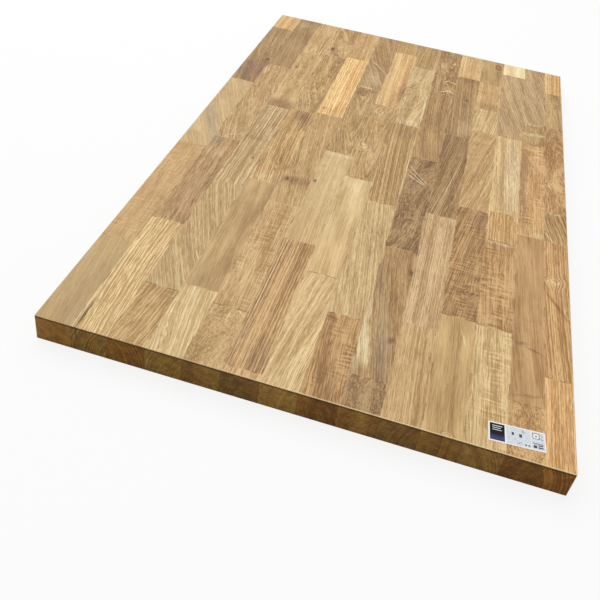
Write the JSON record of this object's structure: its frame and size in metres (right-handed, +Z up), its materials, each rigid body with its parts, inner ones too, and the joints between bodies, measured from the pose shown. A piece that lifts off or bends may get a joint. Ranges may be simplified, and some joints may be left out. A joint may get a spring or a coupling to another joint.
{
  "type": "glued laminated wood panel",
  "caption": "Flat rectangular hardwood panel of finger-jointed blocks glued up in parallel staves, with lightly eased edges and a small paper label on its top face.",
  "frame": {"origin": "centre of the panel's underside", "axes": "+X across the staves to the right as seen from the front end, +Y along the staves towards the back end, +Z up out of the labelled face"},
  "size_m": [0.6, 1, 0.0362],
  "materials": {
    "wood_straw": "planed and fine sanded, unfinished",
    "wood_honey": "planed and fine sanded, unfinished",
    "wood_tan": "planed and fine sanded, unfinished",
    "wood_brown": "planed and fine sanded, unfinished",
    "wood_orange": "planed and fine sanded, unfinished",
    "label_paper": "smooth coated paper"
  },
  "bodies": {
    "root": {"row_01_odd": "wood_straw", "row_01_even": "wood_tan", "row_02_odd": "wood_brown", "row_02_even": "wood_honey", "row_03_odd": "wood_straw", "row_03_even": "wood_tan", "row_04_odd": "wood_tan", "row_04_even": "wood_brown", "row_05_odd": "wood_tan", "row_05_even": "wood_honey", "row_06_odd": "wood_straw", "row_06_even": "wood_brown", "row_07_odd": "wood_tan", "row_07_even": "wood_honey", "row_08_odd": "wood_tan", "row_08_even": "wood_straw", "row_09_odd": "wood_brown", "row_09_even": "wood_brown", "row_10_odd": "wood_brown", "row_10_even": "wood_tan", "row_11_odd": "wood_tan", "row_11_even": "wood_honey", "row_12_odd": "wood_straw", "row_12_even": "wood_tan", "row_13_odd": "wood_orange", "row_13_even": "wood_tan", "row_14_odd": "wood_orange", "row_14_even": "wood_orange", "label": "label_paper"}
  },
  "joints": []
}
